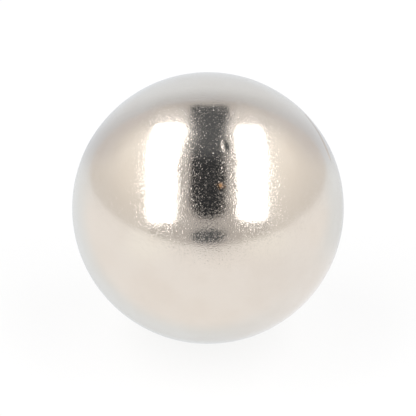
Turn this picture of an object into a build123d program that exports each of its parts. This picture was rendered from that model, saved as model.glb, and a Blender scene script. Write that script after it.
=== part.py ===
from build123d import *
import os

# Ball magnet, in millimetres: one solid sphere of sintered magnet alloy, ground round and
# nickel plated all over. The origin is the ball's centre. +Z is the magnetic axis and points
# out of the north pole, so the south pole is the lowest point, where the ball clings to steel.

ball_diameter = 12.7        # half an inch, measured over the plating


def make_ball():
    """The whole magnet. Its plating is a skin a few hundredths of a millimetre thick, grown on
    the core and not a piece of its own, so core and skin are one solid."""
    ball = Sphere(radius=ball_diameter / 2)
    ball.label = "ball"
    return ball


os.makedirs("parts", exist_ok=True)
export_step(make_ball(), "parts/ball.step")
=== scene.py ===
from math import atan, cos, pi, radians, sin

import bmesh
import bpy
import numpy as np
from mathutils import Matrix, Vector


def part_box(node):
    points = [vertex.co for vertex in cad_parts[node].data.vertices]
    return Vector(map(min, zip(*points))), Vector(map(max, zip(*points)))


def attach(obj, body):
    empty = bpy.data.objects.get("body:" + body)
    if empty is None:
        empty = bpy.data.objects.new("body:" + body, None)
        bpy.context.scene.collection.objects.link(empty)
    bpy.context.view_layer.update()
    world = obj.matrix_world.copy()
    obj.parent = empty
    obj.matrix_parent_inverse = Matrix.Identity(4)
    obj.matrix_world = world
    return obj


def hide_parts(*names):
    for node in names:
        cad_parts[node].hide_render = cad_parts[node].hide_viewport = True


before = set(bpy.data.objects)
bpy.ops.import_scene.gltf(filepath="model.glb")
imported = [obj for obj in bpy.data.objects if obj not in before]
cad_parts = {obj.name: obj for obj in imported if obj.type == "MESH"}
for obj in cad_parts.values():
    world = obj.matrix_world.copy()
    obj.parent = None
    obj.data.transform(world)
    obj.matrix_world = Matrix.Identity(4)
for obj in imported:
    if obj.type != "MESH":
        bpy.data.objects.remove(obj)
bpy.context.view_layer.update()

# Ball magnet: one nickel-plated ball on a white table, in a photo studio that it reflects.
# Metres, in the frame of the CAD part: the origin is the ball's centre and +Z is up.

low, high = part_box("ball")
BALL_RADIUS = (high.z - low.z) / 2

# ---------------------------------------------------------------- sizes and places
CAMERA_RISE = radians(30)       # how far above the level the camera looks down from
CAMERA_LENS = 400.0             # mm
SENSOR_WIDTH = 36.0             # mm
BALL_SHARE = 0.654              # the ball's diameter as a share of the picture's width

FLOOR_SIZE = 160 * BALL_RADIUS
FLOOR_PLAIN = 0.82              # share of plain white in the table as the camera sees it

SOFTBOX = 3.5                   # brightness of the softboxes, where the table is 1

# The ball's own surface
GRID = 112                      # squares along each edge of the cube that the ball is blown from
FINER_CUTS = 3                  # cuts across each of those squares where the ball has marks
FINER_REACH = 0.12e-3           # how far past a mark's edge the finer squares go
WAVES = 60                      # long, shallow waves left by grinding and tumbling
WAVE_LENGTHS = (0.5e-3, 2.6e-3)
WAVE_SLOPE = radians(0.35)      # typical tilt of the surface along those waves
DINGS = 12                      # small dents on the sides that the camera doesn't see
SCRATCHES = 4                   # short scratches on those sides
SEED = 7

# Marks. Places on the ball are a longitude and a latitude in degrees: longitude 0 faces the
# camera's side and 90 is to its right. A dent has a place, its half width and half height, and
# its depth. A groove has the places that it goes through, its half width and its depth.
DENTS = [
    ((12.4, 55.8), (0.22e-3, 0.42e-3), 14e-6),
    ((41.8, -13.8), (0.06e-3, 0.06e-3), 5e-6),
    ((43.1, -18.3), (0.06e-3, 0.06e-3), 5e-6),
    ((63.3, -19.4), (0.07e-3, 0.07e-3), 6e-6),
    ((56.0, -36.1), (0.06e-3, 0.06e-3), 5e-6),
    ((119.9, 53.0), (0.10e-3, 0.10e-3), 8e-6),
    ((-143.3, 75.3), (0.10e-3, 0.10e-3), 8e-6),
]
GROOVES = [
    (((106.6, 42.1), (101.5, 39.0), (97.0, 35.6), (91.4, 31.6), (86.0, 26.6)), 0.17e-3, 40e-6),
    (((30.0, -25.5), (31.8, -23.3), (34.1, -20.9)), 0.06e-3, 2.5e-6),
]
COPPER_SPOT = (6.5, 39.2)       # where the plating is worn down to its copper layer

# Directions of the studio, all square to each other: towards the camera, to its right and up.
TO_CAMERA = Vector((0, -cos(CAMERA_RISE), sin(CAMERA_RISE)))
TO_RIGHT = Vector((1, 0, 0))
TO_TOP = TO_CAMERA.cross(TO_RIGHT)


def direction(longitude, latitude):
    """The unit direction from the ball's centre to a place on it."""
    east, north = radians(longitude), radians(latitude)
    return Vector((cos(north) * sin(east), -cos(north) * cos(east), sin(north)))


def link(item):
    bpy.context.scene.collection.objects.link(item)
    return item


# ---------------------------------------------------------------- node helpers
class Nodes:
    """Adds shader nodes to a tree in few words."""

    def __init__(self, tree):
        self.tree = tree
        tree.nodes.clear()

    def add(self, kind, inputs=(), **settings):
        node = self.tree.nodes.new(kind)
        for name, value in settings.items():
            setattr(node, name, value)
        for key, value in dict(inputs).items():
            self.feed(node.inputs[key], value)
        return node

    def feed(self, socket, value):
        if isinstance(value, bpy.types.NodeSocket):
            self.tree.links.new(value, socket)
        else:
            socket.default_value = value

    def math(self, operation, a, b=0.0):
        return self.add("ShaderNodeMath", {0: a, 1: b}, operation=operation).outputs[0]

    def vector(self, operation, a, b=(0.0, 0.0, 0.0)):
        node = self.add("ShaderNodeVectorMath", {0: a, 1: b}, operation=operation)
        return node.outputs["Value" if operation in ("DOT_PRODUCT", "LENGTH") else "Vector"]

    def ramp(self, value, start, end, low=0.0, high=1.0):
        """A smooth step: low where value is at start or before it, high at end or past it."""
        node = self.add("ShaderNodeMapRange", interpolation_type="SMOOTHSTEP")
        for key, number in zip((0, 1, 2, 3, 4), (value, start, end, low, high)):
            self.feed(node.inputs[key], number)
        return node.outputs[0]

    def mix(self, share, a, b):
        """A colour that is a where share is 0 and b where it is 1."""
        node = self.add("ShaderNodeMix", data_type="RGBA")
        self.feed(node.inputs[0], share)
        self.feed(node.inputs[6], a)
        self.feed(node.inputs[7], b)
        return node.outputs[2]


def rgb(red, green, blue):
    return (red, green, blue, 1.0)


# ---------------------------------------------------------------- the studio
def build_studio():
    """The room round the ball, as a world. A mirror ball shows every direction of its room once,
    so each part of the room is laid out by the place on such a ball, seen from TO_CAMERA, where
    it would show: across and up run from -1 to 1 over the ball. It is fixed in the room."""
    world = bpy.data.worlds.new("studio")
    world.use_nodes = True
    bpy.context.scene.world = world
    n = Nodes(world.node_tree)

    ray = n.add("ShaderNodeTexCoord").outputs["Generated"]
    half_way = n.vector("NORMALIZE", n.vector("ADD", ray, tuple(TO_CAMERA)))
    across = n.vector("DOT_PRODUCT", half_way, tuple(TO_RIGHT))
    up = n.vector("DOT_PRODUCT", half_way, tuple(TO_TOP))
    aside = n.math("ABSOLUTE", across)
    place = n.add("ShaderNodeCombineXYZ", {0: across, 1: up}).outputs[0]
    out = n.vector("LENGTH", n.vector("ADD", place, (0.015, -0.02, 0.0)))

    def times(*values):
        product = values[0]
        for value in values[1:]:
            product = n.math("MULTIPLY", product, value)
        return product

    def oval(centre, half_size, roundness=2.0, x=across):
        """1 on the edge of an oval and less inside it. A roundness under 2 makes it pointed."""
        shares = []
        for value, middle, half in zip((x, up), centre, half_size):
            share = n.math("DIVIDE", n.math("ABSOLUTE", n.math("SUBTRACT", value, middle)), half)
            shares.append(n.math("POWER", share, roundness))
        return n.math("POWER", n.math("ADD", *shares), 1 / roundness)

    def panel(left, right, bottom, top, corner=0.03, soft=0.008, lean=0.0):
        """1 inside a rectangle with round corners and 0 outside. Its sides go across by lean for
        each unit up, about its middle."""
        middle = ((left + right) / 2, (bottom + top) / 2, 0.0)
        core = ((right - left) / 2 - corner, (top - bottom) / 2 - corner, 0.0)
        offset = n.vector("SUBTRACT", place, middle)
        sideways = n.vector("DOT_PRODUCT", offset, (1.0, -lean, 0.0))
        upwards = n.vector("DOT_PRODUCT", offset, (0.0, 1.0, 0.0))
        offset = n.add("ShaderNodeCombineXYZ", {0: sideways, 1: upwards}).outputs[0]
        past_core = n.vector("MAXIMUM", n.vector("SUBTRACT", n.vector("ABSOLUTE", offset), core))
        return n.ramp(n.vector("LENGTH", past_core), corner - soft, corner + soft, 1.0, 0.0)

    # White table below and a cooler white backdrop above. Behind, both fade to a cool grey.
    colour = n.mix(n.ramp(up, -0.1, 0.4), rgb(1.0, 1.0, 1.0), rgb(0.84, 0.90, 0.96))
    beyond = n.mix(n.ramp(up, 0.2, 0.6), rgb(0.88, 0.94, 0.99), rgb(0.83, 0.885, 0.945))
    colour = n.mix(n.ramp(out, 0.84, 0.95), colour, beyond)
    colour = n.mix(n.ramp(out, 0.955, 0.99), colour, rgb(0.83, 0.87, 0.905))

    # The softboxes brighten the table on both sides, and it is darker under the camera
    glow = n.ramp(oval((0.43, -0.25), (0.26, 0.2), x=aside), 1.0, 0.2)
    colour = n.mix(glow, colour, rgb(1.06, 1.07, 1.05))
    right_side = times(n.ramp(across, 0.0, 0.75), n.ramp(up, -0.15, -0.5))
    colour = n.mix(right_side, colour, rgb(0.96, 0.97, 0.985))
    under_camera = n.ramp(oval((0.02, -0.24), (0.28, 0.16)), 1.0, 0.2)
    colour = n.mix(under_camera, colour, rgb(0.84, 0.84, 0.84))

    # The backdrop is darker towards its top edge, which is where the room begins
    opening = oval((0.0, 0.257), (0.865, 0.53), 1.92)
    shade = n.mix(n.ramp(aside, 0.2, 0.7), rgb(0.62, 0.65, 0.69), rgb(0.68, 0.715, 0.77))
    colour = n.mix(times(n.ramp(opening, 1.21, 1.0), n.ramp(up, 0.2, 0.5)), colour, shade)

    # The room through the opening, brightest beside the softboxes
    beside = n.ramp(oval((0.44, 0.38), (0.46, 0.62), x=aside), 0.0, 1.0)
    room = n.mix(beside, rgb(1.09, 1.065, 1.01), rgb(0.78, 0.765, 0.745))
    room_top = times(n.ramp(opening, 0.72, 0.98), n.ramp(up, 0.25, 0.45))
    room = n.mix(room_top, room, rgb(0.70, 0.69, 0.70))
    inside = n.ramp(opening, 0.985, 1.015, 1.0, 0.0)
    colour = n.mix(inside, colour, room)

    # The grey surround of the camera, darker low down and lighter above the softboxes
    surround = panel(-0.43, 0.44, -0.5, 1.0)
    low_down = times(n.ramp(up, -0.05, -0.2), n.ramp(aside, 0.1, 0.4))
    grey = n.mix(low_down, rgb(0.55, 0.54, 0.53), rgb(0.64, 0.63, 0.61))
    over = n.ramp(oval((0.27, 0.63), (0.27, 0.15), x=aside), 1.0, 0.3)
    grey = n.mix(over, grey, rgb(0.85, 0.84, 0.84))
    colour = n.mix(times(surround, inside), colour, grey)

    # Two softboxes, each of an upper and a lower panel with a seam between them
    upper_left = times(panel(-0.436, -0.194, 0.26, 0.610, 0.055, lean=0.26),
                       panel(-0.440, -0.1, 0.2, 0.63))
    lower_left = panel(-0.440, -0.228, -0.106, 0.33, 0.045)
    upper_right = panel(0.212, 0.422, 0.26, 0.598, 0.06, lean=-0.1)
    lower_right = panel(0.220, 0.430, -0.085, 0.33, 0.045)
    for softbox in (upper_left, lower_left, upper_right, lower_right):
        colour = n.mix(softbox, colour, rgb(SOFTBOX, SOFTBOX, SOFTBOX))
    for left, right in ((-0.29, -0.21), (0.21, 0.31)):
        seam = panel(left, right, 0.309, 0.327, 0.006, 0.005)
        colour = n.mix(seam, colour, rgb(0.85, 0.80, 0.66))

    # The dark gap between them, round at its foot and wider at its top, where light leaks in at
    # its sides. The camera's lens is below it.
    gap = n.math("MAXIMUM", panel(-0.130, 0.133, -0.005, 0.7, 0.03, 0.012),
                 panel(-0.124, 0.156, 0.6, 0.75, 0.035, 0.012))
    gap = n.math("MAXIMUM", gap, n.ramp(oval((0.005, 0.0), (0.128, 0.076)), 1.08, 0.92))
    dark = n.mix(n.ramp(up, 0.3, 0.45), rgb(0.03, 0.033, 0.037), rgb(0.105, 0.113, 0.122))
    leak = n.math("MAXIMUM", n.ramp(oval((-0.14, 0.54), (0.12, 0.2)), 1.0, 0.1),
                  n.ramp(oval((0.15, 0.5), (0.08, 0.16)), 1.0, 0.1))
    dark = n.mix(times(leak, 0.75), dark, rgb(0.42, 0.43, 0.44))
    colour = n.mix(gap, colour, dark)
    lens = n.ramp(oval((0.005, -0.207), (0.135, 0.054)), 1.12, 0.88)
    colour = n.mix(lens, colour, rgb(0.11, 0.118, 0.128))

    # Seen straight on, the backdrop is plain white
    path = n.add("ShaderNodeLightPath")
    seen = n.add("ShaderNodeBackground", {"Color": rgb(1, 1, 1), "Strength": 1.0})
    lit = n.add("ShaderNodeBackground", {"Color": colour, "Strength": 1.0})
    either = n.add("ShaderNodeMixShader",
                   {0: path.outputs["Is Camera Ray"], 1: lit.outputs[0], 2: seen.outputs[0]})
    n.add("ShaderNodeOutputWorld", {"Surface": either.outputs[0]})


def build_floor():
    """A white table at the ball's lowest point. It shows plain white, less the ball's shadow."""
    half = FLOOR_SIZE / 2
    corners = [(x * half, y * half, low.z) for x, y in ((-1, -1), (1, -1), (1, 1), (-1, 1))]
    mesh = bpy.data.meshes.new("floor")
    mesh.from_pydata(corners, [], [(0, 1, 2, 3)])
    floor = link(bpy.data.objects.new("floor", mesh))

    paint = bpy.data.materials.new("white_table")
    paint.use_nodes = True
    n = Nodes(paint.node_tree)
    path = n.add("ShaderNodeLightPath")
    lit = n.add("ShaderNodeBsdfDiffuse", {"Color": rgb(0.9, 0.9, 0.9)})
    plain = n.add("ShaderNodeEmission", {"Color": rgb(1, 1, 1), "Strength": 1.0})
    seen = n.add("ShaderNodeMixShader", {0: FLOOR_PLAIN, 1: lit.outputs[0], 2: plain.outputs[0]})
    either = n.add("ShaderNodeMixShader",
                   {0: path.outputs["Is Camera Ray"], 1: lit.outputs[0], 2: seen.outputs[0]})
    n.add("ShaderNodeOutputMaterial", {"Surface": either.outputs[0]})
    mesh.materials.append(paint)
    floor.visible_glossy = False


def build_camera():
    camera = link(bpy.data.objects.new("camera", bpy.data.cameras.new("camera")))
    camera.data.lens = CAMERA_LENS
    camera.data.sensor_width = SENSOR_WIDTH
    reach = atan(BALL_SHARE * SENSOR_WIDTH / 2 / CAMERA_LENS)
    camera.location = TO_CAMERA * (BALL_RADIUS / sin(reach))
    camera.rotation_euler = TO_CAMERA.to_track_quat("Z", "Y").to_euler()
    camera.data.clip_start = BALL_RADIUS * 0.1
    camera.data.clip_end = BALL_RADIUS * 200
    bpy.context.scene.camera = camera


# ---------------------------------------------------------------- the ball's shape
def blown_cube(count):
    """Unit directions, square faces and bake coordinates of a cube with count squares along each
    edge, blown up to a ball."""
    steps = np.arange(count + 1)
    i, j = np.meshgrid(steps, steps, indexing="ij")
    keys, patches = [], []
    for axis in range(3):
        for end in (0, count):
            key = np.empty(i.shape + (3,), int)
            key[..., axis] = end
            key[..., (axis + 1) % 3] = i if end else j
            key[..., (axis + 2) % 3] = j if end else i
            keys.append(key.reshape(-1, 3))
    every, index = np.unique(np.concatenate(keys), axis=0, return_inverse=True)
    index = index.reshape(6, count + 1, count + 1)
    faces = np.stack([index[:, :-1, :-1], index[:, 1:, :-1], index[:, 1:, 1:], index[:, :-1, 1:]], -1)
    points = np.tan((every / count - 0.5) * (pi / 2))
    points /= np.linalg.norm(points, axis=1)[:, None]

    # Each of the cube's six sides has its own patch of the bake map, three across and two up
    margin = 0.01
    u, v = i / count, j / count
    for patch in range(6):
        column, row = patch % 3, patch // 3
        uv = np.stack([(column + margin + u * (1 - 2 * margin)) / 3,
                       (row + margin + v * (1 - 2 * margin)) / 2], -1)
        patches.append(np.stack([uv[:-1, :-1], uv[1:, :-1], uv[1:, 1:], uv[:-1, 1:]], -2))
    return points, faces.reshape(-1, 4), np.array(patches).reshape(-1, 2)


def bowl(distance):
    """The depth of a round hollow, from 1 in its middle to 0 at its edge, where distance is 1."""
    share = np.clip(distance, 0, 1)
    return 1 - share * share * (3 - 2 * share)


class Dent:
    """A hollow with its long side up the ball."""

    def __init__(self, place, half_sizes, depth):
        self.middle = np.array(direction(*place))
        east = np.cross((0, 0, 1), self.middle)
        self.east = east / np.linalg.norm(east)
        self.north = np.cross(self.middle, self.east)
        self.half_sizes = half_sizes
        self.depth = depth

    def distance(self, points):
        """How far directions are from the middle: 1 on the edge. The far side of the ball is 99."""
        across = points @ self.east * BALL_RADIUS / self.half_sizes[0]
        along = points @ self.north * BALL_RADIUS / self.half_sizes[1]
        return np.where(points @ self.middle > 0, np.hypot(across, along), 99)

    def reaches(self, points):
        return self.distance(points) < 1 + FINER_REACH / min(self.half_sizes)


class Groove:
    """A shallow trough along a line of places, which gets narrower and shallower at its ends."""

    def __init__(self, places, half_width, depth):
        self.stops = np.array([direction(*place) for place in places])
        self.half_width = half_width
        self.depth = depth

    def distance(self, points):
        nearest = np.full(len(points), 99.0)
        run = np.linalg.norm(np.diff(self.stops, axis=0), axis=1)
        start = np.concatenate([[0], np.cumsum(run)]) / run.sum()
        for leg in range(len(run)):
            first, step = self.stops[leg], self.stops[leg + 1] - self.stops[leg]
            share = np.clip((points - first) @ step / (step @ step), 0, 1)
            gap = np.linalg.norm(points - first - share[:, None] * step, axis=1) * BALL_RADIUS
            along = start[leg] + share * (start[leg + 1] - start[leg])
            width = self.half_width * (0.35 + 0.65 * np.sqrt(np.clip(np.sin(pi * along), 0, 1)))
            nearest = np.minimum(nearest, gap / width)
        return nearest

    def reaches(self, points):
        return self.distance(points) < 1 + FINER_REACH / self.half_width


def marks(random):
    """The marks on the side that the camera sees, and some made-up ones on the other sides."""
    found = [Dent(*dent) for dent in DENTS] + [Groove(*groove) for groove in GROOVES]
    wanted = len(found) + DINGS + SCRATCHES
    while len(found) < wanted:
        longitude = random.uniform(-180, 180)
        latitude = np.degrees(np.arcsin(random.uniform(-1, 1)))
        if direction(longitude, latitude).dot(TO_CAMERA) > -0.15:
            continue
        if len(found) < wanted - SCRATCHES:
            half = random.uniform(0.08e-3, 0.28e-3)
            half_height = half * random.uniform(1, 1.6)
            found.append(Dent((longitude, latitude), (half, half_height), half * 0.06))
        else:
            turn = random.uniform(0, 2 * pi)
            east = 9 * cos(turn) / max(cos(radians(latitude)), 0.3)
            end = (longitude + east, latitude + 9 * sin(turn))
            found.append(Groove(((longitude, latitude), end), 0.07e-3, 4e-6))
    return found


def build_ball():
    points, faces, uvs = blown_cube(GRID)
    mesh = bpy.data.meshes.new("nickel_ball")
    mesh.vertices.add(len(points))
    mesh.vertices.foreach_set("co", (points * BALL_RADIUS).ravel())
    mesh.loops.add(faces.size)
    mesh.loops.foreach_set("vertex_index", faces.ravel())
    mesh.polygons.add(len(faces))
    mesh.polygons.foreach_set("loop_start", np.arange(0, faces.size, 4))
    mesh.update(calc_edges=True)
    mesh.uv_layers.new(name="OFBake").data.foreach_set("uv", uvs.ravel())
    mesh.validate()

    # Finer squares round each mark
    random = np.random.default_rng(SEED)
    all_marks = marks(random)
    marked = np.zeros(len(points), bool)
    for mark in all_marks:
        marked |= mark.reaches(points)
    shape = bmesh.new()
    shape.from_mesh(mesh)
    near = [edge for edge in shape.edges if any(marked[corner.index] for corner in edge.verts)]
    bmesh.ops.subdivide_edges(shape, edges=near, cuts=FINER_CUTS, use_grid_fill=True)
    shape.to_mesh(mesh)
    shape.free()

    # The whole surface is worked inwards from the true ball, so that it stays inside it
    points = np.empty(len(mesh.vertices) * 3)
    mesh.vertices.foreach_get("co", points)
    points = points.reshape(-1, 3)
    points /= np.linalg.norm(points, axis=1)[:, None]
    height = np.zeros(len(points))
    for _ in range(WAVES):
        wave = random.normal(size=3)
        wave *= 2 * pi / random.uniform(*WAVE_LENGTHS) / np.linalg.norm(wave)
        steepness = WAVE_SLOPE * (2 / WAVES) ** 0.5
        phase = points @ wave * BALL_RADIUS + random.uniform(0, 2 * pi)
        height += np.cos(phase) * steepness / np.linalg.norm(wave)
    height -= height.max()
    for mark in all_marks:
        height -= bowl(mark.distance(points)) * mark.depth
    points *= (BALL_RADIUS + height)[:, None]
    mesh.vertices.foreach_set("co", points.ravel())
    mesh.shade_smooth()
    mesh.update()
    return link(bpy.data.objects.new("nickel_ball", mesh))


# ---------------------------------------------------------------- the ball's finish
def nickel_plate():
    finish = bpy.data.materials.new("nickel_plate")
    finish.use_nodes = True
    n = Nodes(finish.node_tree)
    spot = n.add("ShaderNodeTexCoord").outputs["Object"]

    def pits(size, reach, depth, kept):
        """Round pits, scattered in cells of that size. A share of the cells is kept, some deeper
        than others, and reach is a pit's radius as a share of a cell."""
        cells = n.add("ShaderNodeTexVoronoi", {"Vector": spot, "Scale": 1 / size})
        chance = n.add("ShaderNodeSeparateColor", {0: cells.outputs["Color"]}).outputs[0]
        hollow = n.ramp(cells.outputs["Distance"], 0.0, reach, -depth, 0.0)
        return n.math("MULTIPLY", hollow, n.ramp(chance, 1 - kept, 1.0))

    def noise(size, detail=1.0):
        inputs = {"Vector": spot, "Scale": 1 / size, "Detail": detail}
        return n.add("ShaderNodeTexNoise", inputs).outputs[0]

    # The grain: fine pebbles, and pits of two sizes. Heights are in micrometres.
    height = n.math("MULTIPLY", noise(0.07e-3), 2.2)
    height = n.math("ADD", height, pits(0.13e-3, 0.34, 7.0, 0.22))
    height = n.math("ADD", height, pits(0.085e-3, 0.42, 4.6, 0.7))
    height = n.math("ADD", height, pits(0.055e-3, 0.45, 2.6, 0.9))
    bump = n.add("ShaderNodeBump", {"Height": height, "Strength": 1.0, "Distance": 1e-6})

    # The metal: slightly tarnished in wide patches, and frosted between its brighter grains
    tarnish = n.ramp(noise(2.2e-3, 3.0), 0.38, 0.68)
    tint = n.mix(tarnish, rgb(0.782, 0.715, 0.646), rgb(0.765, 0.692, 0.618))
    frosted = n.ramp(noise(0.09e-3), 0.42, 0.70, 0.08, 0.22)
    roughness = n.math("ADD", frosted, n.math("MULTIPLY", tarnish, 0.015))

    # The worn spot: a copper core in a brown ring, both ragged
    middle = tuple(direction(*COPPER_SPOT) * BALL_RADIUS)
    reach = n.vector("LENGTH", n.vector("SUBTRACT", spot, middle))
    ragged = n.math("MULTIPLY", reach, n.ramp(noise(0.11e-3), 0.3, 0.7, 0.7, 1.4))
    ring = n.ramp(ragged, 0.11e-3, 0.26e-3, 1.0, 0.0)
    core = n.ramp(ragged, 0.05e-3, 0.10e-3, 1.0, 0.0)
    tint = n.mix(ring, tint, rgb(0.58, 0.42, 0.30))
    tint = n.mix(core, tint, rgb(0.50, 0.28, 0.14))
    roughness = n.math("ADD", roughness, n.math("MULTIPLY", ring, 0.10))
    roughness = n.math("ADD", roughness, n.math("MULTIPLY", core, 0.28))

    metal = n.add("ShaderNodeBsdfPrincipled", {"Base Color": tint, "Metallic": 1.0,
                                              "Roughness": roughness, "Normal": bump.outputs[0]})
    n.add("ShaderNodeOutputMaterial", {"Surface": metal.outputs[0]})
    return finish


# ---------------------------------------------------------------- everything together
build_studio()
build_floor()
build_camera()
bpy.context.scene.view_settings.view_transform = "Standard"

ball = build_ball()
ball.data.materials.append(nickel_plate())
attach(ball, "root")
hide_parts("ball")
